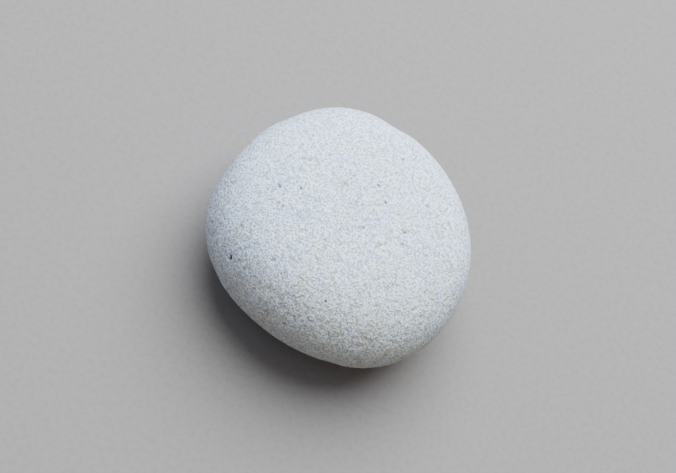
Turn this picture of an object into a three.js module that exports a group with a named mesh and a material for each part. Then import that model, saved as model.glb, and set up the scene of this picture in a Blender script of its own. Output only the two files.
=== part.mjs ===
// A river pebble: one pale grey stone, worn smooth and round by moving water.
//
// Millimetres, +Z up. The stone lies on its flattest side. X is its longest way, Z is its
// thinnest, and the origin is on the ground, under the middle of the stone's box.

import * as THREE from 'three';
import { mergeVertices } from 'three/addons/utils/BufferGeometryUtils.js';

// The stone's overall size.
const LENGTH = 56;
const BREADTH = 54.2;
const THICKNESS = 28.6;

// Water wears a stone into a few broad faces that run smoothly into each other. Each band of
// faces leans up from the horizontal by its lean. Its first face looks the way that start
// says, in degrees round from +X, and the others follow evenly spaced. A reach is how far
// that face lies from the middle of the stone: a short one is a harder worn side.
const BANDS = [
  { name: 'top', lean: 90, start: 0, reaches: [15] },
  { name: 'upper shoulder', lean: 45, start: 30, reaches: [28.5, 27.5, 28.5, 28.5, 28, 28] },
  {
    name: 'rim',
    lean: 0,
    start: 0,
    reaches: [32, 34.5, 29, 35, 39.5, 31, 31, 40, 33, 29, 40, 41.5],
  },
  { name: 'lower shoulder', lean: -45, start: 30, reaches: [26.5, 26.5, 26.5, 28.5, 25.5, 28] },
  { name: 'underside', lean: -90, start: 0, reaches: [14] },
];

// No worn face is quite flat: each is crowned like a piece of a large ball of this radius.
const FACE_CROWN = 90;

// How tightly one worn face turns into the next. 2 would blur them into one round ball.
const EDGE_TIGHTNESS = 8;

// The underside is ground off by this much, which leaves the true flat that the stone stands on.
const FOOT_WEAR = 0.4;

// Each edge of the ball that the stone is shaped from is split into this many parts and one more.
const BALL_DETAIL = 15;

const STONE_GREY = '#c8ccce';

const stoneMaterial = new THREE.MeshStandardMaterial({
  color: STONE_GREY,
  roughness: 0.85,
  metalness: 0,
});

// The worn faces of every band, each as the middle of the large ball that it is a piece of.
function wornFaces() {
  return BANDS.flatMap(({ lean, start, reaches }) =>
    reaches.map((reach, index) => {
      const around = THREE.MathUtils.degToRad(start + (index * 360) / reaches.length);
      const up = THREE.MathUtils.degToRad(lean);
      const outward = new THREE.Vector3(
        Math.cos(up) * Math.cos(around),
        Math.cos(up) * Math.sin(around),
        Math.sin(up),
      );
      return outward.multiplyScalar(reach - FACE_CROWN);
    }),
  );
}

// How much of the way from the stone's middle out to one worn face's ball a point lies.
function shareOfTheWayTo(ballMiddle, point) {
  const along = point.dot(ballMiddle);
  const room = FACE_CROWN ** 2 - ballMiddle.lengthSq();
  return point.lengthSq() / (along + Math.sqrt(along ** 2 + point.lengthSq() * room));
}

// How much of the way out to the stone's skin, where the faces are blended, a point lies.
function shareOfTheWayOut(point, faces) {
  const total = faces.reduce(
    (sum, ballMiddle) => sum + shareOfTheWayTo(ballMiddle, point) ** EDGE_TIGHTNESS,
    0,
  );
  return total ** (1 / EDGE_TIGHTNESS);
}

// A ball of even triangles with shared corners, squashed to about the stone's proportions.
function squashedBall() {
  const ball = new THREE.IcosahedronGeometry(1, BALL_DETAIL);
  ball.deleteAttribute('normal');
  ball.deleteAttribute('uv');
  return mergeVertices(ball).scale(LENGTH / 2, BREADTH / 2, THICKNESS / 2);
}

// Moves every corner of the ball straight out, or in, onto the worn skin.
function wearToFaces(geometry) {
  const faces = wornFaces();
  const corners = geometry.getAttribute('position');
  const corner = new THREE.Vector3();
  for (let index = 0; index < corners.count; index += 1) {
    corner.fromBufferAttribute(corners, index);
    corner.divideScalar(shareOfTheWayOut(corner, faces));
    corners.setXYZ(index, corner.x, corner.y, corner.z);
  }
  return geometry;
}

// Draws what hangs below the foot's level in along its own radius, onto one flat.
function grindFoot(geometry) {
  geometry.computeBoundingBox();
  const footLevel = geometry.boundingBox.min.z + FOOT_WEAR;
  const corners = geometry.getAttribute('position');
  for (let index = 0; index < corners.count; index += 1) {
    const height = corners.getZ(index);
    if (height < footLevel) {
      const draw = footLevel / height;
      corners.setXYZ(index, corners.getX(index) * draw, corners.getY(index) * draw, footLevel);
    }
  }
  return geometry;
}

// Brings the stone to its exact size and stands it on the ground, centred on the origin.
function standAtSize(geometry) {
  geometry.computeBoundingBox();
  const size = geometry.boundingBox.getSize(new THREE.Vector3());
  geometry.scale(LENGTH / size.x, BREADTH / size.y, THICKNESS / size.z);
  geometry.computeBoundingBox();
  const middle = geometry.boundingBox.getCenter(new THREE.Vector3());
  geometry.translate(-middle.x, -middle.y, -geometry.boundingBox.min.z);
  geometry.computeVertexNormals();
  return geometry;
}

const pebble = new THREE.Mesh(
  standAtSize(grindFoot(wearToFaces(squashedBall()))),
  stoneMaterial,
);
pebble.name = 'pebble';

const model = new THREE.Group();
model.add(pebble);

export default model;
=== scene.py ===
"""A river pebble: one pale grey, water-worn stone.

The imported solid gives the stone's form. Here it gets its real skin: a fine mesh laid on that
solid, with the stone's low swells, its grain and its pits, and a matt stone finish. A plain
pale floor, soft light and a camera stand around it.
"""

from __future__ import annotations

import logging
import math
import random
from dataclasses import dataclass
from enum import Enum
from typing import Dict, List, Optional, Sequence, Tuple, Union

import bmesh
import bpy
import numpy as np
from mathutils import Matrix, Vector, noise
from mathutils.bvhtree import BVHTree


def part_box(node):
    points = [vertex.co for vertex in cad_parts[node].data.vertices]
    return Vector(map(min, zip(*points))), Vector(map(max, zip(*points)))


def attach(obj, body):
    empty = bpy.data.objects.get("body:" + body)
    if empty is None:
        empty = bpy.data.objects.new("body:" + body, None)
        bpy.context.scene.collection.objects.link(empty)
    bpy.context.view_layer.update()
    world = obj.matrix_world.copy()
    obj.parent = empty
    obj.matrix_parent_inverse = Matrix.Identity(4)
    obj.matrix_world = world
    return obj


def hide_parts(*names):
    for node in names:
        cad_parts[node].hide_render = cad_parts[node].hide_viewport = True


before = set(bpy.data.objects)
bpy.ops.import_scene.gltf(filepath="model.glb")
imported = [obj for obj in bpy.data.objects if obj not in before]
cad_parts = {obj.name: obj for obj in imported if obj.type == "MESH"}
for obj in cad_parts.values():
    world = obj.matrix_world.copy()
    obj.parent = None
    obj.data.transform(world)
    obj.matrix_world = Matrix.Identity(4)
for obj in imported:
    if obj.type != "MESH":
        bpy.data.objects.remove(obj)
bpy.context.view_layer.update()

LOG = logging.getLogger("pebble")

MM = 0.001  # every size below is in metres, written as so many millimetres
STONE_NODE = "pebble"
PIT_SHADE = "pit_shade"  # the mesh attribute of painted shade: how dark each point is painted for lying in a pit or a gap between grains, 0 to 1
STAIN = "stain"  # the mesh attribute that says how rusty each point is, 0 to 1
NO_LENGTH = 0.001  # a direction shorter than this is taken as none at all

# The Mix node's colour sockets, by number, since its other sockets have the same names.
MIX_BELOW, MIX_ABOVE, MIXED = 6, 7, 2

Feed = Union[float, Sequence[float], bpy.types.NodeSocket]
Colour = Tuple[float, float, float]
Span = Tuple[float, float]  # where a range starts and ends


def direction(around: float, up: float) -> Vector:
    """Gives the unit vector that points a given way.

    Args:
        around: degrees round from +X, towards +Y.
        up: degrees above the horizontal.

    Returns:
        The unit vector.
    """
    turn, rise = math.radians(around), math.radians(up)
    level = math.cos(rise)
    return Vector((level * math.cos(turn), level * math.sin(turn), math.sin(rise)))


# ---------------------------------------------------------------- shader building


class Net:
    """One node tree while it is being wired, with short calls for the nodes used most."""

    def __init__(self, tree: bpy.types.NodeTree) -> None:
        """Starts on a tree, which may already hold nodes."""
        self.tree = tree

    def feed(self, socket: bpy.types.NodeSocket, value: Feed) -> None:
        """Sets a socket to a value, or wires another node's output to it.

        Args:
            socket: the input socket.
            value: a number, a colour, a vector or an output socket.
        """
        if isinstance(value, bpy.types.NodeSocket):
            self.tree.links.new(value, socket)
        else:
            socket.default_value = value

    def add(
        self,
        kind: str,
        feeds: Optional[Dict[Union[str, int], Feed]] = None,
        **settings: object,
    ) -> bpy.types.Node:
        """Adds a node.

        Args:
            kind: the node's type.
            feeds: what goes into its input sockets, by their names or numbers.
            **settings: the node's own properties.

        Returns:
            The new node.
        """
        node = self.tree.nodes.new(kind)
        for name, value in settings.items():
            setattr(node, name, value)
        for key, value in (feeds or {}).items():
            self.feed(node.inputs[key], value)
        return node

    def math(self, operation: str, first: Feed, second: Feed = 0.0) -> bpy.types.NodeSocket:
        """Adds a Math node.

        Args:
            operation: the sum it does.
            first: its first number.
            second: its second number.

        Returns:
            Its result.
        """
        node = self.add("ShaderNodeMath", {0: first, 1: second}, operation=operation)
        return node.outputs[0]

    def remap(
        self, value: Feed, low: Feed, high: Feed, to_low: Feed = 0.0, to_high: Feed = 1.0
    ) -> bpy.types.NodeSocket:
        """Eases a value from one range into another, and holds it at the ends.

        Args:
            value: the value.
            low: where the range starts.
            high: where the range ends.
            to_low: what the start becomes.
            to_high: what the end becomes.

        Returns:
            The eased value.
        """
        node = self.add(
            "ShaderNodeMapRange",
            {"Value": value, "From Min": low, "From Max": high, "To Min": to_low, "To Max": to_high},
            interpolation_type="SMOOTHSTEP",
        )
        return node.outputs["Result"]

    def noise(
        self, place: Feed, per_metre: Feed, detail: float = 1.0, roughness: float = 0.5
    ) -> bpy.types.NodeOutputs:
        """Adds a noise texture.

        Args:
            place: where on the surface a point is.
            per_metre: how many of its lumps there are in a metre.
            detail: how many finer layers lie on them.
            roughness: how strong the finer layers are.

        Returns:
            Its outputs, of which the first is its value.
        """
        feeds = {"Vector": place, "Scale": per_metre, "Detail": detail, "Roughness": roughness}
        return self.add("ShaderNodeTexNoise", feeds).outputs

    def cells(self, place: Feed, per_metre: Feed) -> Tuple[bpy.types.NodeSocket, bpy.types.Node]:
        """Adds a texture of cells packed side by side.

        Args:
            place: where on the surface a point is.
            per_metre: how many cells there are in a metre.

        Returns:
            How far a point is from its cell's middle, and a node with three chances by cell.
        """
        cells = self.add(
            "ShaderNodeTexVoronoi", {"Vector": place, "Scale": per_metre}, feature="F1"
        )
        chances = self.add("ShaderNodeSeparateColor", {0: cells.outputs["Color"]})
        return cells.outputs["Distance"], chances

    def mix(
        self, share: Feed, first: Feed, second: Feed, blend: str = "MIX"
    ) -> bpy.types.NodeSocket:
        """Mixes two colours.

        Args:
            share: how much of the second colour there is.
            first: the colour below.
            second: the colour above.
            blend: how they mix.

        Returns:
            The mixed colour.
        """
        feeds = {0: share, MIX_BELOW: first, MIX_ABOVE: second}
        node = self.add("ShaderNodeMix", feeds, data_type="RGBA", blend_type=blend)
        return node.outputs[MIXED]

    def tint(
        self, colour: Feed, over: Colour, share: Feed, strength: float = 1.0
    ) -> bpy.types.NodeSocket:
        """Lays one colour over another.

        Args:
            colour: the colour below.
            over: the colour that is laid over it.
            share: where it is laid, 0 to 1.
            strength: how much of it there is where it is fully laid.

        Returns:
            The tinted colour.
        """
        return self.mix(self.math("MULTIPLY", share, strength), colour, (*over, 1.0))


class Effect:
    """A surface effect as a shader node group, built once and placed in each material."""

    name = "effect"
    takes: Dict[str, str] = {}
    gives: Dict[str, str] = {}

    def wire(
        self, net: Net, given: bpy.types.NodeOutputs
    ) -> Dict[str, bpy.types.NodeSocket]:
        """Wires the inside of the group.

        Args:
            net: the group's own tree.
            given: the group's named inputs.

        Returns:
            What goes to each named output.
        """
        raise NotImplementedError

    def group(self) -> bpy.types.NodeTree:
        """Gives the group, and builds it the first time.

        Returns:
            The node group.
        """
        made = bpy.data.node_groups.get(self.name)
        if made is not None:
            return made
        made = bpy.data.node_groups.new(self.name, "ShaderNodeTree")
        for name, kind in self.takes.items():
            made.interface.new_socket(name=name, in_out="INPUT", socket_type=kind)
        for name, kind in self.gives.items():
            made.interface.new_socket(name=name, in_out="OUTPUT", socket_type=kind)
        net = Net(made)
        entry = net.add("NodeGroupInput")
        leave = net.add("NodeGroupOutput")
        for name, value in self.wire(net, entry.outputs).items():
            net.feed(leave.inputs[name], value)
        return made

    def place(self, net: Net, **feeds: Feed) -> bpy.types.NodeOutputs:
        """Places the group in a material.

        Args:
            net: the material's tree.
            **feeds: what goes into each named input, with _ for a space.

        Returns:
            The group's named outputs.
        """
        node = net.add("ShaderNodeGroup", node_tree=self.group())
        for name, value in feeds.items():
            net.feed(node.inputs[name.replace("_", " ")], value)
        return node.outputs


class FineGrain(Effect):
    """Mineral grains: two sizes of soft speckle, and the small relief that goes with them."""

    name = "fine grain"
    takes = {"Place": "NodeSocketVector", "Grain Size": "NodeSocketFloat"}
    gives = {"Tone": "NodeSocketFloat", "Relief": "NodeSocketFloat"}
    grain_share = 0.92
    clot_share = 0.08
    clots_per_grain = 0.37
    darkest = 0.27
    palest = 0.61

    def wire(
        self, net: Net, given: bpy.types.NodeOutputs
    ) -> Dict[str, bpy.types.NodeSocket]:
        """Wires the speckle.

        Args:
            net: the group's own tree.
            given: Place, and Grain Size in metres.

        Returns:
            Tone, 0 on the darkest grains to 1 on the palest, and Relief, about 0.5 on average.
        """
        per_metre = net.math("DIVIDE", 1.0, given["Grain Size"])
        clots_per_metre = net.math("MULTIPLY", per_metre, self.clots_per_grain)
        grains = net.noise(given["Place"], per_metre)[0]
        clots = net.noise(given["Place"], clots_per_metre)[0]
        blend = net.math(
            "ADD",
            net.math("MULTIPLY", grains, self.grain_share),
            net.math("MULTIPLY", clots, self.clot_share),
        )
        return {"Tone": net.remap(blend, self.darkest, self.palest), "Relief": blend}


class Grains(Effect):
    """Grains packed side by side: each has its own tone, and hollows lie between them, which the
    material paints darker, partly as painted shade.
    """

    name = "packed grains"
    takes = {"Place": "NodeSocketVector", "Grain Size": "NodeSocketFloat"}
    gives = {"Hollow": "NodeSocketFloat", "Shade": "NodeSocketFloat"}
    noise_middle = (0.5, 0.5, 0.5)
    grain_ends = 0.35
    gap_deepest = 0.95

    def wire(
        self, net: Net, given: bpy.types.NodeOutputs
    ) -> Dict[str, bpy.types.NodeSocket]:
        """Wires the grains.

        Args:
            net: the group's own tree.
            given: Place, and Grain Size in metres.

        Returns:
            Hollow, 0 on a grain to 1 in the gap between grains, and Shade, 0 to 1 by grain.
        """
        per_metre = net.math("DIVIDE", 1.0, given["Grain Size"])
        wander = net.noise(given["Place"], per_metre)["Color"]
        aside = net.add(
            "ShaderNodeVectorMath", {0: wander, 1: self.noise_middle}, operation="SUBTRACT"
        ).outputs[0]
        nudge = net.add("ShaderNodeVectorMath", {0: aside}, operation="SCALE")
        net.feed(nudge.inputs["Scale"], given["Grain Size"])
        place = net.add(
            "ShaderNodeVectorMath", {0: given["Place"], 1: nudge.outputs[0]}, operation="ADD"
        ).outputs[0]
        from_middle, chances = net.cells(place, per_metre)
        pit_shade = net.remap(from_middle, self.grain_ends, self.gap_deepest)
        return {"Hollow": pit_shade, "Shade": chances.outputs[0]}


class Pores(Effect):
    """Scattered pin-prick pores of mixed sizes, where a soft grain has been plucked out."""

    name = "pores"
    takes = {
        "Place": "NodeSocketVector",
        "Spacing": "NodeSocketFloat",
        "Width": "NodeSocketFloat",
        "Share": "NodeSocketFloat",
    }
    gives = {"Pore": "NodeSocketFloat"}
    sizes = (0.6, 1.4)
    faintest = 0.35

    def wire(
        self, net: Net, given: bpy.types.NodeOutputs
    ) -> Dict[str, bpy.types.NodeSocket]:
        """Wires the pores.

        Args:
            net: the group's own tree.
            given: Place, Spacing and Width in metres, and the Share of places with a pore.

        Returns:
            Pore, 1 in the middle of a pore and 0 outside.
        """
        per_metre = net.math("DIVIDE", 1.0, given["Spacing"])
        from_middle, chances = net.cells(given["Place"], per_metre)
        radius = net.math("MULTIPLY", given["Width"], 0.5)
        size = net.remap(chances.outputs[0], 0.0, 1.0, *self.sizes)
        reach = net.math("MULTIPLY", net.math("DIVIDE", radius, given["Spacing"]), size)
        inside = net.remap(from_middle, 0.0, reach, 1.0, 0.0)
        is_open = net.math("LESS_THAN", chances.outputs[1], given["Share"])
        strength = net.remap(chances.outputs[2], 0.0, 1.0, self.faintest, 1.0)
        return {"Pore": net.math("MULTIPLY", net.math("MULTIPLY", inside, is_open), strength)}


class Drift(Effect):
    """Wide soft patches, where a tint drifts through the stone."""

    name = "tint drift"
    takes = {
        "Place": "NodeSocketVector",
        "Patch Size": "NodeSocketFloat",
        "Starts": "NodeSocketFloat",
        "Full": "NodeSocketFloat",
    }
    gives = {"Patch": "NodeSocketFloat"}
    detail = 3.0
    roughness = 0.55

    def wire(
        self, net: Net, given: bpy.types.NodeOutputs
    ) -> Dict[str, bpy.types.NodeSocket]:
        """Wires the patches.

        Args:
            net: the group's own tree.
            given: Place, Patch Size in metres, and where on the noise a patch Starts and is Full.

        Returns:
            Patch, 0 to 1.
        """
        per_metre = net.math("DIVIDE", 1.0, given["Patch Size"])
        cloud = net.noise(given["Place"], per_metre, self.detail, self.roughness)[0]
        return {"Patch": net.remap(cloud, given["Starts"], given["Full"])}


def blank_material(name: str) -> Tuple[bpy.types.Material, Net, bpy.types.Node]:
    """Makes a material with only its shader and output.

    Args:
        name: the material's name.

    Returns:
        The material, its tree ready for wiring, and its Principled BSDF.
    """
    material = bpy.data.materials.new(name)
    material.use_nodes = True
    net = Net(material.node_tree)
    net.tree.nodes.clear()
    shader = net.add("ShaderNodeBsdfPrincipled")
    output = net.add("ShaderNodeOutputMaterial")
    net.feed(output.inputs["Surface"], shader.outputs[0])
    return material, net, shader


# ---------------------------------------------------------------- the stone


@dataclass(frozen=True)
class StoneFinish:
    """Dry, matt, sugary stone: pale grains with hollows between them, and small pores, both painted
    darker: partly their own colour and partly painted shade.

    On its silty side it is washed with a faint warm tint and flecked with silt, and low down it is
    painted darker, as painted shade where it turns under.
    """

    grey: Colour = (0.593, 0.640, 0.714)
    cream: Colour = (0.625, 0.652, 0.653)
    cream_size: float = 3.2 * MM
    cream_span: Span = (0.40, 0.60)
    cream_lean: float = 0.1

    wash: Colour = (0.65, 0.655, 0.61)
    wash_size: float = 3.8 * MM
    wash_span: Span = (0.30, 0.55)
    wash_side: Span = (0.1, 0.85)
    wash_strength: float = 0.7

    silt: Colour = (0.57, 0.51, 0.41)
    silt_way: Tuple[float, float] = (290.0, -20.0)  # degrees round and up, to the silty side
    silt_reach: float = 26 * MM
    silt_size: float = 1.1 * MM
    silt_span: Span = (0.46, 0.62)
    silt_strength: float = 0.8

    # painted shade: the stone is painted darker low down, most on its silty side, where it turns
    # under
    painted_low_shade: Colour = (0.29, 0.265, 0.25)
    painted_low_shade_heights: Span = (13 * MM, 21 * MM)
    painted_low_shade_side: Span = (-0.3, 0.6)
    painted_low_shade_strength: float = 0.36

    rust: Colour = (0.30, 0.27, 0.12)
    rust_spacing: float = 3.4 * MM
    rust_width: float = 1.1 * MM
    rust_share: float = 0.3
    rust_strength: float = 0.35

    grain_size: float = 0.52 * MM
    shade_contrast: float = 0.04
    # the gaps between grains and the pores are painted darker: partly their own colour, partly
    # painted shade
    gap: Colour = (0.32, 0.315, 0.305)
    gap_darkness: float = 0.62
    gap_depth: float = 0.06 * MM

    dust_size: float = 0.32 * MM
    dust_contrast: float = 0.66
    dust_depth: float = 0.085 * MM
    dark_warmth: float = 0.085

    pore: Colour = (0.10, 0.10, 0.11)
    pore_spacing: float = 1.1 * MM
    pore_width: float = 0.42 * MM
    pore_share: float = 0.5
    pore_darkness: float = 0.6
    pore_depth: float = 0.048 * MM
    # painted shade: near black, painted into the pits and the gaps between grains, the deeper the
    # darker
    pit: Colour = (0.035, 0.027, 0.018)

    roughness: float = 0.82
    roughness_spread: float = 0.1
    gloss: float = 0.3

    def material(self) -> bpy.types.Material:
        """Builds the stone's material.

        Returns:
            The material.
        """
        material, net, shader = blank_material("water-worn stone")
        place = net.add("ShaderNodeTexCoord").outputs["Object"]
        grains = Grains().place(net, Place=place, Grain_Size=self.grain_size)
        dust = FineGrain().place(net, Place=place, Grain_Size=self.dust_size)
        pore = Pores().place(
            net,
            Place=place,
            Spacing=self.pore_spacing,
            Width=self.pore_width,
            Share=self.pore_share,
        )["Pore"]
        sunk = net.add("ShaderNodeAttribute", attribute_name=PIT_SHADE).outputs["Fac"]

        colour = self.ground(net, place)
        colour = self.speckled(net, colour, grains["Shade"], self.shade_contrast)
        colour = self.speckled(net, colour, dust["Tone"], self.dust_contrast)
        # partly painted shade: the gaps between grains and the pores are painted darker, partly
        # their own colour and partly the shade in them
        colour = net.tint(colour, self.gap, grains["Hollow"], self.gap_darkness)
        colour = net.tint(colour, self.pore, pore, self.pore_darkness)
        # painted shade: the pits and the gaps between grains are painted near black, the deeper the
        # darker
        colour = net.tint(colour, self.pit, sunk)
        net.feed(shader.inputs["Base Color"], colour)

        roughest = self.roughness + self.roughness_spread
        smoothest = self.roughness - self.roughness_spread
        worn = net.remap(dust["Tone"], 0.0, 1.0, roughest, smoothest)
        net.feed(shader.inputs["Roughness"], worn)
        net.feed(shader.inputs["Specular IOR Level"], self.gloss)

        raised = net.math("MULTIPLY", dust["Relief"], self.dust_depth / self.gap_depth)
        plucked = net.math("MULTIPLY", pore, self.pore_depth / self.gap_depth)
        height = net.math("SUBTRACT", raised, net.math("ADD", grains["Hollow"], plucked))
        bump = net.add(
            "ShaderNodeBump", {"Strength": 1.0, "Distance": self.gap_depth, "Height": height}
        )
        net.feed(shader.inputs["Normal"], bump.outputs[0])
        return material

    def ground(self, net: Net, place: bpy.types.NodeSocket) -> bpy.types.NodeSocket:
        """Mixes the stone's ground colour, before its grains are drawn.

        Args:
            net: the material's tree.
            place: where on the stone a point is.

        Returns:
            The ground colour: grey with cream drifts, wash, silt, painted shade low down, and rust.
        """
        way = direction(*self.silt_way) / self.silt_reach
        side = net.add(
            "ShaderNodeVectorMath", {0: place, 1: way}, operation="DOT_PRODUCT"
        ).outputs["Value"]
        lean = net.math("MULTIPLY", side, self.cream_lean)
        starts, full = [net.math("SUBTRACT", edge, lean) for edge in self.cream_span]
        drift = Drift().place(
            net, Place=place, Patch_Size=self.cream_size, Starts=starts, Full=full
        )
        colour = net.mix(drift["Patch"], (*self.grey, 1.0), (*self.cream, 1.0))
        colour = self.silted(net, place, side, colour)
        return self.rusted(net, place, colour)

    def silted(
        self,
        net: Net,
        place: bpy.types.NodeSocket,
        side: bpy.types.NodeSocket,
        colour: bpy.types.NodeSocket,
    ) -> bpy.types.NodeSocket:
        """Washes and flecks the stone's silty side, and paints shade on it low down.

        Args:
            net: the material's tree.
            place: where on the stone a point is.
            side: how far towards the silty side it is, about -1 to 1.
            colour: the clean colour.

        Returns:
            The silted colour, with its painted shade low down.
        """
        starts, full = self.wash_span
        washed = Drift().place(
            net, Place=place, Patch_Size=self.wash_size, Starts=starts, Full=full
        )
        starts, full = self.silt_span
        flecks = Drift().place(
            net, Place=place, Patch_Size=self.silt_size, Starts=starts, Full=full
        )
        wash = net.math("MULTIPLY", washed["Patch"], net.remap(side, *self.wash_side))
        colour = net.tint(colour, self.wash, wash, self.wash_strength)
        silt = net.math("MULTIPLY", flecks["Patch"], wash)
        colour = net.tint(colour, self.silt, silt, self.silt_strength)
        # painted shade: darker low down, most towards the silty side
        height = net.add("ShaderNodeSeparateXYZ", {0: place}).outputs["Z"]
        low_down = net.remap(height, *self.painted_low_shade_heights, 1.0, 0.0)
        painted_low_shade = net.math("MULTIPLY", low_down, net.remap(side, *self.painted_low_shade_side))
        return net.tint(colour, self.painted_low_shade, painted_low_shade, self.painted_low_shade_strength)

    def rusted(
        self, net: Net, place: bpy.types.NodeSocket, colour: bpy.types.NodeSocket
    ) -> bpy.types.NodeSocket:
        """Adds the rusty flecks: some scattered, and the named ones, each where it is.

        Args:
            net: the material's tree.
            place: where on the stone a point is.
            colour: the colour without them.

        Returns:
            The colour with them.
        """
        speck = Pores().place(
            net,
            Place=place,
            Spacing=self.rust_spacing,
            Width=self.rust_width,
            Share=self.rust_share,
        )["Pore"]
        scattered = net.math("MULTIPLY", speck, self.rust_strength)
        named = net.add("ShaderNodeAttribute", attribute_name=STAIN).outputs["Fac"]
        return net.tint(colour, self.rust, net.math("MAXIMUM", scattered, named))

    def speckled(
        self,
        net: Net,
        colour: bpy.types.NodeSocket,
        tone: bpy.types.NodeSocket,
        contrast: float,
    ) -> bpy.types.NodeSocket:
        """Lightens and darkens a colour with a speckle.

        Args:
            net: the material's tree.
            colour: the colour.
            tone: the speckle, 0 to 1.
            contrast: how far it lightens and darkens in all.

        Returns:
            The speckled colour, whose dark grains are a little warmer than its pale ones.
        """
        gains = {}
        for part, share in enumerate((1 - self.dark_warmth, 1.0, 1 + self.dark_warmth)):
            reach = share * contrast / 2
            gains[part] = net.remap(tone, 0.0, 1.0, 1.0 - reach, 1.0 + reach)
        scale = net.add("ShaderNodeCombineColor", gains)
        return net.mix(1.0, colour, scale.outputs[0], blend="MULTIPLY")


class PitShape(Enum):
    """The shapes that a pit in the stone may have."""

    ROUND = "round"
    HOOKED = "hooked"
    SCRATCH = "scratch"


# The shapes of the pits, in shares of a pit's radius.
ROUND_STEEPNESS = 1.5
HOOK_EDGE = 0.125  # how wide the soft edge of a hooked pit is
HOOK_BITE = 0.85  # the radius of the round part that it leaves standing
HOOK_ASIDE = 0.8  # how far aside that part lies
SCRATCH_WIDTH = 0.22
SCRATCH_BEND = 0.3
SCRATCH_END = 4  # how abruptly a scratch ends


def soft_disc(x: np.ndarray, y: np.ndarray, radius: float) -> np.ndarray:
    """Gives 1 inside a round patch and 0 outside, with a soft edge."""
    return 1 / (1 + np.exp((np.hypot(x, y) - radius) / HOOK_EDGE))


@dataclass(frozen=True)
class Pit:
    """One pit in the skin: the way it lies from the stone's middle, its size and shape.

    The way is in degrees round and degrees up, and the turn is in degrees on its own middle.
    """

    around: float
    up: float
    width: float = 0.6 * MM
    depth: float = 0.10 * MM
    shape: PitShape = PitShape.ROUND
    turn: float = 0.0

    def sunk(self, across: np.ndarray, along: np.ndarray) -> np.ndarray:
        """Says how deep the pit is at points near it.

        Args:
            across: how far each point lies from its middle, sideways.
            along: how far each point lies from its middle, up the stone.

        Returns:
            The depth at each point, as a share of the pit's own: 1 is the bottom.
        """
        radius = self.width / 2
        turn = math.radians(self.turn)
        x = (across * math.cos(turn) + along * math.sin(turn)) / radius
        y = (along * math.cos(turn) - across * math.sin(turn)) / radius
        if self.shape is PitShape.HOOKED:
            return soft_disc(x, y, 1.0) * (1 - soft_disc(x + HOOK_ASIDE, y, HOOK_BITE))
        if self.shape is PitShape.SCRATCH:
            off_line = (y + SCRATCH_BEND * x**2) / SCRATCH_WIDTH
            return np.exp(-(x**SCRATCH_END)) * np.exp(-(off_line**2))
        return np.exp(-((x**2 + y**2) ** ROUND_STEEPNESS))


# The marks that stand out on the stone, each where it is. The deep hooked one is a plucked grain.
NAMED_PITS = (
    Pit(232.2, 10.5, width=1.12 * MM, depth=0.34 * MM, shape=PitShape.HOOKED, turn=42),
    Pit(199, 35.4, width=0.6 * MM, depth=0.16 * MM),
    Pit(200.5, 35.8, width=0.68 * MM, depth=0.2 * MM),
    Pit(199.1, 45.6, width=0.35 * MM, depth=0.26 * MM),
    Pit(210, 33, width=1.5 * MM, depth=0.12 * MM, shape=PitShape.SCRATCH, turn=85),
    Pit(216, 37.5, width=0.58 * MM, depth=0.19 * MM),
    Pit(196, 30.5, width=0.6 * MM, depth=0.09 * MM),
    Pit(359.8, 53.3, width=0.62 * MM, depth=0.25 * MM),
    Pit(299, 69.5, width=0.5 * MM, depth=0.18 * MM),
    Pit(84.3, 67.6, width=0.66 * MM, depth=0.24 * MM),
    Pit(41.6, 71.2, width=0.66 * MM, depth=0.22 * MM),
    Pit(19, 62, width=0.9 * MM, depth=0.14 * MM, shape=PitShape.SCRATCH, turn=-85),
    Pit(82.3, 39.2, width=0.54 * MM, depth=0.22 * MM),
    Pit(280.6, 25.7, width=0.56 * MM, depth=0.2 * MM),
    Pit(213.6, 5.4, width=0.66 * MM, depth=0.26 * MM),
    Pit(148.5, 84.4, width=0.46 * MM, depth=0.17 * MM),
    Pit(222, 20.4, width=0.54 * MM, depth=0.17 * MM),
    Pit(226.7, 23.1, width=0.66 * MM, depth=0.12 * MM),
    Pit(245.5, 25.4, width=0.75 * MM, depth=0.12 * MM),
    Pit(253.5, 24.5, width=0.5 * MM, depth=0.13 * MM),
    Pit(261.7, 9.9, width=0.7 * MM, depth=0.07 * MM),
    Pit(268.8, 8, width=0.5 * MM, depth=0.18 * MM),
    Pit(304.2, 15, width=0.46 * MM, depth=0.11 * MM),
    Pit(304.2, 32.4, width=1.5 * MM, depth=0.13 * MM, shape=PitShape.SCRATCH, turn=90),
    Pit(150.9, 46.2, width=1.1 * MM, depth=0.2 * MM, shape=PitShape.SCRATCH, turn=156),
    Pit(104.4, 60.6, width=0.9 * MM, depth=0.2 * MM, shape=PitShape.SCRATCH, turn=-153),
)


@dataclass(frozen=True)
class Stain:
    """One rusty mineral fleck: the way it lies from the stone's middle, its width and strength."""

    around: float
    up: float
    width: float
    strength: float


# The rusty flecks that stand out.
NAMED_STAINS = (
    Stain(160.1, 68, width=0.9 * MM, strength=0.9),
    Stain(157, 66.5, width=1.8 * MM, strength=0.16),
    Stain(222, 20.4, width=0.7 * MM, strength=0.4),
    Stain(304.2, 15, width=0.7 * MM, strength=0.5),
    Stain(208.2, 10.1, width=1.1 * MM, strength=0.3),
    Stain(233.5, 8, width=1.3 * MM, strength=0.18),
    Stain(261, 12, width=1.4 * MM, strength=0.2),
    Stain(318, 20, width=1.2 * MM, strength=0.25),
)


@dataclass(frozen=True)
class Swell:
    """A broad, low rise on the stone, or a worn flat where its height is below zero."""

    around: float
    up: float
    width: float
    height: float


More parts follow.
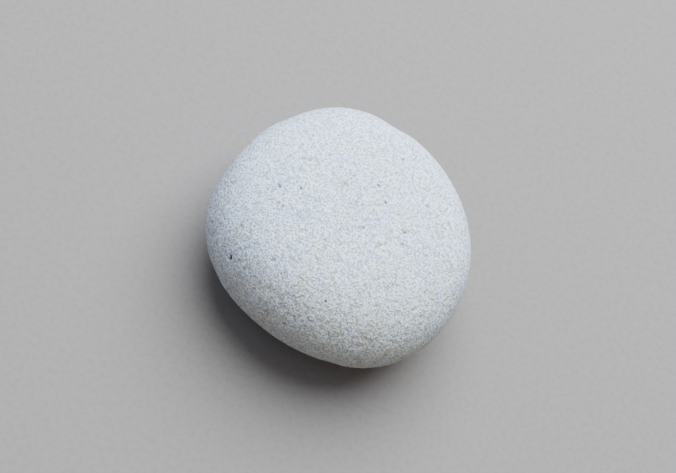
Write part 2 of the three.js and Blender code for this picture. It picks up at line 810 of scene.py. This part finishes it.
# The rises and worn flats round the stone's rim, which keep its outline from a plain oval. The
# last four make the low ridge along one flank, where the stone turns under.
NAMED_SWELLS = (
    Swell(97, 14, width=6.4 * MM, height=-0.36 * MM),
    Swell(121, 12, width=11 * MM, height=0.16 * MM),
    Swell(149, 11, width=5 * MM, height=-0.22 * MM),
    Swell(173, 5, width=6 * MM, height=-0.36 * MM),
    Swell(186, 3, width=6 * MM, height=-0.20 * MM),
    Swell(205, -4, width=8 * MM, height=0.22 * MM),
    Swell(228, -10, width=5 * MM, height=-0.16 * MM),
    Swell(270, -14, width=8 * MM, height=0.11 * MM),
    Swell(296, -12, width=4 * MM, height=-0.24 * MM),
    Swell(330, -5, width=5 * MM, height=-0.14 * MM),
    Swell(214, -5, width=5 * MM, height=-0.16 * MM),
    Swell(219, 3, width=4 * MM, height=-0.13 * MM),
    Swell(256, 6, width=8 * MM, height=0.36 * MM),
    Swell(270, 4, width=9 * MM, height=0.46 * MM),
    Swell(284, 4, width=9 * MM, height=0.50 * MM),
    Swell(299, 5.5, width=8 * MM, height=0.40 * MM),
)

# Small dents and worn grooves low on the flank, where the stone has been knocked.
NAMED_DENTS = (
    Swell(249, 11, width=1.9 * MM, height=-0.12 * MM),
    Swell(252, 14, width=1.9 * MM, height=-0.12 * MM),
    Swell(255, 16, width=1.9 * MM, height=-0.12 * MM),
    Swell(259, 17.5, width=1.8 * MM, height=-0.10 * MM),
    Swell(263.5, 19.5, width=1.8 * MM, height=-0.11 * MM),
    Swell(264, 15, width=1.6 * MM, height=-0.06 * MM),
    Swell(251, 10, width=2.2 * MM, height=0.06 * MM),
    Swell(254.5, 12, width=2.2 * MM, height=0.06 * MM),
    Swell(257, 9, width=1.5 * MM, height=-0.08 * MM),
    Swell(263.5, 7.5, width=2.2 * MM, height=-0.16 * MM),
    Swell(246, 13, width=2.0 * MM, height=-0.09 * MM),
    Swell(241, 8.5, width=1.8 * MM, height=-0.08 * MM),
    Swell(271.5, 0.5, width=3.0 * MM, height=-0.20 * MM),
    Swell(256.5, 1.5, width=2.4 * MM, height=-0.16 * MM),
    Swell(287, 5, width=1.8 * MM, height=-0.09 * MM),
    Swell(278, 5.5, width=1.6 * MM, height=-0.09 * MM),
    Swell(281.5, 11, width=1.8 * MM, height=-0.06 * MM),
    Swell(289, 7.5, width=1.6 * MM, height=-0.07 * MM),
)


@dataclass
class Pebble:
    """The stone: a fine skin over the solid, with its swells, grain and pits."""

    finish: StoneFinish

    weld: float = 0.001 * MM
    rounding: int = 2
    cuts: int = 123
    lean: float = 0.22  # how far the grid's points are drawn up, towards the top
    fine_reach: float = 0.6
    fine_margin: float = 0.1 * MM
    fine_cuts: int = 2

    swell_size: float = 11 * MM
    swell_height: float = 0.10 * MM
    dimple_size: float = 3.2 * MM
    dimple_height: float = 0.014 * MM
    grain_size: float = 0.8 * MM
    grain_height: float = 0.045 * MM

    gap_spacing: float = 1.15 * MM
    gap_depth: float = 0.045 * MM
    gap_shade: float = 0.2
    gap_starts: float = 0.45
    gap_reach: float = 0.5
    gap_steepness: float = 1.5

    pit_count: int = 300
    pit_widths: Span = (0.5, 0.85)  # in millimetres
    pit_depths: Span = (0.03, 0.12)  # in millimetres
    pit_reach: float = 1.5  # beyond this many widths a pit does nothing
    # a pit this deep or deeper is painted fully dark, as painted shade
    darkest_depth: float = 0.3 * MM
    seed: int = 7

    def __post_init__(self) -> None:
        """Takes the stone's middle and half sizes from the frame."""
        low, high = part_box(STONE_NODE)
        self.middle = (low + high) / 2
        self.half = (high - low) / 2
        self.body = self.smooth_body()

    def smooth_body(self) -> BVHTree:
        """Rounds a copy of the solid's facets off, to lay the skin on.

        Returns:
            The rounded body, ready for rays to be cast at it.
        """
        shape = bmesh.new()
        shape.from_mesh(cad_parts[STONE_NODE].data)
        bmesh.ops.remove_doubles(shape, verts=shape.verts, dist=self.weld)
        mesh = bpy.data.meshes.new("rounded body")
        shape.to_mesh(mesh)
        shape.free()
        rounded = bpy.data.objects.new("rounded body", mesh)
        bpy.context.scene.collection.objects.link(rounded)
        rounded.modifiers.new("rounding", "SUBSURF").levels = self.rounding
        depsgraph = bpy.context.evaluated_depsgraph_get()
        body = BVHTree.FromObject(rounded, depsgraph)
        bpy.data.objects.remove(rounded)
        bpy.data.meshes.remove(mesh)
        return body

    def touch(self, way: Vector) -> Tuple[Vector, Vector]:
        """Finds where a line from the stone's middle comes out of the rounded body.

        Args:
            way: the line's direction.

        Returns:
            The point on the body, and the way that the body faces there.
        """
        point, outward, _, _ = self.body.ray_cast(self.middle, way)
        if point is None:
            return self.middle + way * self.half.x, way
        return point, outward if outward.dot(way) > 0 else -outward

    def ball(self) -> bmesh.types.BMesh:
        """Makes a grid all round the stone: a cube blown up to a ball, then squashed.

        Returns:
            The grid, with its middle at the origin. It is finer above, where more is seen.
        """
        grid = bmesh.new()
        bmesh.ops.create_cube(grid, size=2.0)
        bmesh.ops.subdivide_edges(grid, edges=grid.edges, cuts=self.cuts, use_grid_fill=True)
        for corner in grid.verts:
            even = Vector([math.tan(part * math.pi / 4) for part in corner.co]).normalized()
            even.z += self.lean
            even.normalize()
            corner.co = Vector([part * size for part, size in zip(even, self.half)])
        return grid

    def scattered_pits(self) -> List[Pit]:
        """Scatters small pits all over the stone.

        Returns:
            The pits.
        """
        draw = random.Random(self.seed)
        pits = []
        for _ in range(self.pit_count):
            pits.append(
                Pit(
                    around=draw.uniform(0, 360),
                    up=math.degrees(math.asin(draw.uniform(-1, 1))),
                    width=draw.uniform(*self.pit_widths) * MM,
                    depth=draw.uniform(*self.pit_depths) * MM,
                )
            )
        return pits

    def laid_grid(self) -> bmesh.types.BMesh:
        """Lays the grid on the rounded body, and makes it finer round each named pit.

        Returns:
            The grid on the body.
        """
        grid = self.ball()
        for corner in grid.verts:
            corner.co = self.touch(corner.co.normalized())[0]
        seats = [self.touch(direction(pit.around, pit.up))[0] for pit in NAMED_PITS]
        reaches = [self.fine_reach * pit.width + self.fine_margin for pit in NAMED_PITS]
        near = set()
        for face in grid.faces:
            middle = face.calc_center_median()
            if any((middle - seat).length < reach for seat, reach in zip(seats, reaches)):
                near.update(face.edges)
        laid = len(grid.verts)
        bmesh.ops.subdivide_edges(
            grid, edges=list(near), cuts=self.fine_cuts, use_grid_fill=True
        )
        grid.verts.ensure_lookup_table()
        for corner in grid.verts[laid:]:
            corner.co = self.touch((corner.co - self.middle).normalized())[0]
        grid.normal_update()
        return grid

    def skin(self) -> bpy.types.Mesh:
        """Builds the stone's whole skin.

        Returns:
            The mesh, with its attribute of painted shade in pits and gaps, and its stain attribute.
        """
        grid = self.laid_grid()
        mesh = bpy.data.meshes.new("pebble skin")
        grid.to_mesh(mesh)
        grid.free()
        points = np.array([corner.co for corner in mesh.vertices])
        outward = np.array([corner.normal for corner in mesh.vertices])
        sunk, depth = self.pitted(points, [*NAMED_PITS, *self.scattered_pits()])
        stained = self.stained(points)
        raised, gaps = self.relief(points)
        points = points + outward * (raised - depth)[:, None]
        points[:, 2] = np.maximum(points[:, 2], 0.0)
        mesh.vertices.foreach_set("co", points.ravel())
        # painted shade: the pits and the gaps between grains are painted dark by how deep they lie
        shade = np.maximum(sunk, gaps * self.gap_shade)
        mesh.attributes.new(PIT_SHADE, "FLOAT", "POINT").data.foreach_set("value", shade)
        mesh.attributes.new(STAIN, "FLOAT", "POINT").data.foreach_set("value", stained)
        mesh.shade_smooth()
        mesh.update()
        return mesh

    def pitted(
        self, points: np.ndarray, pits: Sequence[Pit]
    ) -> Tuple[np.ndarray, np.ndarray]:
        """Works out how far the pits sink each point of the skin.

        Args:
            points: the skin's points.
            pits: the pits.

        Returns:
            How dark each point is painted, 0 to 1, as painted shade in the pits, and the depth it
            sinks in metres.
        """
        dark = np.zeros(len(points))
        depth = np.zeros(len(points))
        for pit in pits:
            seat, outward = self.touch(direction(pit.around, pit.up))
            away = points - np.array(seat)
            near = np.flatnonzero((away**2).sum(1) < (self.pit_reach * pit.width) ** 2)
            sideways = Vector((0, 0, 1)).cross(outward)
            if sideways.length < NO_LENGTH:  # it is on the flat underside: any way will do
                sideways = Vector((1, 0, 0))
            sideways.normalize()
            upward = outward.cross(sideways)
            share = pit.sunk(away[near] @ np.array(sideways), away[near] @ np.array(upward))
            dark[near] = np.maximum(dark[near], share * min(1.0, pit.depth / self.darkest_depth))
            depth[near] = np.maximum(depth[near], share * pit.depth)
        return dark, depth

    def stained(self, points: np.ndarray) -> np.ndarray:
        """Works out how far the named flecks stain each point of the skin.

        Args:
            points: the skin's points.

        Returns:
            How rusty each point is, 0 to 1.
        """
        rusty = np.zeros(len(points))
        for stain in NAMED_STAINS:
            seat, _ = self.touch(direction(stain.around, stain.up))
            away = ((points - np.array(seat)) ** 2).sum(1)
            rusty = np.maximum(rusty, stain.strength * np.exp(-away / (stain.width / 2) ** 2))
        return rusty

    def relief(self, points: np.ndarray) -> Tuple[np.ndarray, np.ndarray]:
        """Works out the swells, dimples and grain at each point of the skin.

        Args:
            points: the skin's points.

        Returns:
            How far each point is raised, and how far it lies in a gap between grains, 0 to 1.
        """
        raised = np.zeros(len(points))
        sizes = (
            (self.swell_size, self.swell_height),
            (self.dimple_size, self.dimple_height),
            (self.grain_size, self.grain_height),
        )
        for size, height in sizes:
            raised += height * np.array([noise.noise(place) for place in points / size])
        for swell in (*NAMED_SWELLS, *NAMED_DENTS):
            seat, _ = self.touch(direction(swell.around, swell.up))
            away = ((points - np.array(seat)) ** 2).sum(1)
            raised += swell.height * np.exp(-away / (swell.width / 2) ** 2)
        from_grain = np.array([noise.voronoi(place)[0][0] for place in points / self.gap_spacing])
        inside = np.clip((from_grain - self.gap_starts) / self.gap_reach, 0, 1)
        gaps = inside**self.gap_steepness
        return raised - gaps * self.gap_depth, gaps

    def build(self) -> bpy.types.Object:
        """Makes the stone and hands it to the frame.

        Returns:
            The stone.
        """
        stone = bpy.data.objects.new("river_pebble", self.skin())
        bpy.context.scene.collection.objects.link(stone)
        stone.data.materials.append(self.finish.material())
        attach(stone, "root")
        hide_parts(STONE_NODE)
        return stone


# ---------------------------------------------------------------- the studio


@dataclass(frozen=True)
class TableFinish:
    """A plain, pale, matt table top with the faintest grain.

    It is painted paler far from the stone, as painted light where the lamps light it little, so that
    its edge doesn't stand out against the room.
    """

    colour: Colour = (0.33, 0.305, 0.285)
    # painted light: the table's colour far from the stone, where the lamps light it little
    painted_light_far: Colour = (0.95, 0.95, 0.95)
    painted_light_from: float = 0.35
    painted_light_to: float = 2.0
    grain_size: float = 1.2 * MM
    contrast: float = 0.03
    roughness: float = 0.9
    gloss: float = 0.2

    def material(self) -> bpy.types.Material:
        """Builds the table's material.

        Returns:
            The material.
        """
        material, net, shader = blank_material("pale table")
        place = net.add("ShaderNodeTexCoord").outputs["Object"]
        grain = FineGrain().place(net, Place=place, Grain_Size=self.grain_size)
        darker = tuple(part * (1 - self.contrast) for part in self.colour)
        lighter = tuple(part * (1 + self.contrast) for part in self.colour)
        away = net.add("ShaderNodeVectorMath", {0: place}, operation="LENGTH").outputs["Value"]
        # painted light: the table is painted paler far from the stone
        far = net.remap(away, self.painted_light_from, self.painted_light_to)
        near = net.mix(grain["Tone"], (*darker, 1.0), (*lighter, 1.0))
        net.feed(shader.inputs["Base Color"], net.tint(near, self.painted_light_far, far))
        net.feed(shader.inputs["Roughness"], self.roughness)
        net.feed(shader.inputs["Specular IOR Level"], self.gloss)
        return material


@dataclass(frozen=True)
class SoftBox:
    """A large soft lamp, which lights the stone from one side."""

    name: str
    around: float
    up: float
    distance: float
    size: float
    watts: float
    colour: Colour = (1.0, 1.0, 1.0)

    def build(self, aim: Vector) -> bpy.types.Object:
        """Sets the lamp up.

        Args:
            aim: the point that it faces.

        Returns:
            The lamp.
        """
        lamp = bpy.data.lights.new(self.name, "AREA")
        lamp.shape = "DISK"
        lamp.size = self.size
        lamp.energy = self.watts
        lamp.color = self.colour
        stand = bpy.data.objects.new(self.name, lamp)
        way = direction(self.around, self.up)
        stand.location = aim + way * self.distance
        stand.rotation_euler = way.to_track_quat("Z", "Y").to_euler()
        stand.visible_camera = False
        bpy.context.scene.collection.objects.link(stand)
        return stand


@dataclass
class Studio:
    """What stands around the stone: the table, the lamps, the room's own light, the camera."""

    table_finish: TableFinish
    table_size: float = 16.0
    room_light: float = 0.28
    room_colour: Colour = (0.84, 0.82, 0.80)
    lens: float = 100.0
    sensor_width: float = 36.0
    clip_span: Span = (0.01, 20.0)
    camera_around: float = -90.0
    camera_up: float = 60.0
    camera_distance: float = 0.390
    camera_roll: float = 32.5
    aim: Tuple[float, float, float] = (-0.8 * MM, -1.0 * MM, 13.7 * MM)

    def build_table(self) -> bpy.types.Object:
        """Lays the table top just under the stone.

        Returns:
            The table.
        """
        half = self.table_size / 2
        corners = [(-half, -half, 0), (half, -half, 0), (half, half, 0), (-half, half, 0)]
        mesh = bpy.data.meshes.new("table top")
        mesh.from_pydata(corners, [], [(0, 1, 2, 3)])
        mesh.materials.append(self.table_finish.material())
        table = bpy.data.objects.new("table_top", mesh)
        bpy.context.scene.collection.objects.link(table)
        return table

    def light_room(self) -> None:
        """Gives the room its faint even light."""
        world = bpy.data.worlds.new("room")
        world.use_nodes = True
        glow = world.node_tree.nodes["Background"]
        glow.inputs["Color"].default_value = (*self.room_colour, 1.0)
        glow.inputs["Strength"].default_value = self.room_light
        bpy.context.scene.world = world

    def build_lamps(self) -> List[bpy.types.Object]:
        """Sets the lamps up.

        Returns:
            The lamps.
        """
        lamps = [
            SoftBox(
                "window light",
                around=94,
                up=59,
                distance=0.9,
                size=1.2,
                watts=15.15,
                colour=(0.905, 0.99, 1.08),
            ),
            SoftBox(
                "sky fill",
                around=205,
                up=35,
                distance=0.9,
                size=0.8,
                watts=0.5,
                colour=(0.45, 0.8, 1.55),
            ),
        ]
        return [lamp.build(Vector(self.aim)) for lamp in lamps]

    def build_camera(self) -> bpy.types.Object:
        """Sets the camera up: it looks down on the stone, and is rolled on its own axis.

        Returns:
            The camera.
        """
        lens = bpy.data.cameras.new("camera")
        lens.lens = self.lens
        lens.sensor_width = self.sensor_width
        lens.clip_start, lens.clip_end = self.clip_span
        camera = bpy.data.objects.new("camera", lens)
        back = direction(self.camera_around, self.camera_up)
        level = back.to_track_quat("Z", "Y").to_matrix()
        roll = Matrix.Rotation(math.radians(self.camera_roll), 3, "Z")
        camera.matrix_world = Matrix.Translation(
            Vector(self.aim) + back * self.camera_distance
        ) @ (level @ roll).to_4x4()
        bpy.context.scene.collection.objects.link(camera)
        bpy.context.scene.camera = camera
        return camera

    def build(self) -> None:
        """Sets up the whole studio, and shows its light as a camera would."""
        self.build_camera()
        self.build_table()
        self.light_room()
        self.build_lamps()
        shown = bpy.context.scene.view_settings
        shown.view_transform = "Filmic"
        shown.look = "High Contrast"


def main() -> None:
    """Builds the stone and the studio."""
    logging.basicConfig(level=logging.INFO, format="%(name)s: %(message)s")
    Studio(TableFinish()).build()
    stone = Pebble(StoneFinish()).build()
    LOG.info("%s: %d faces", stone.name, len(stone.data.polygons))


if __name__ == "__main__":
    main()
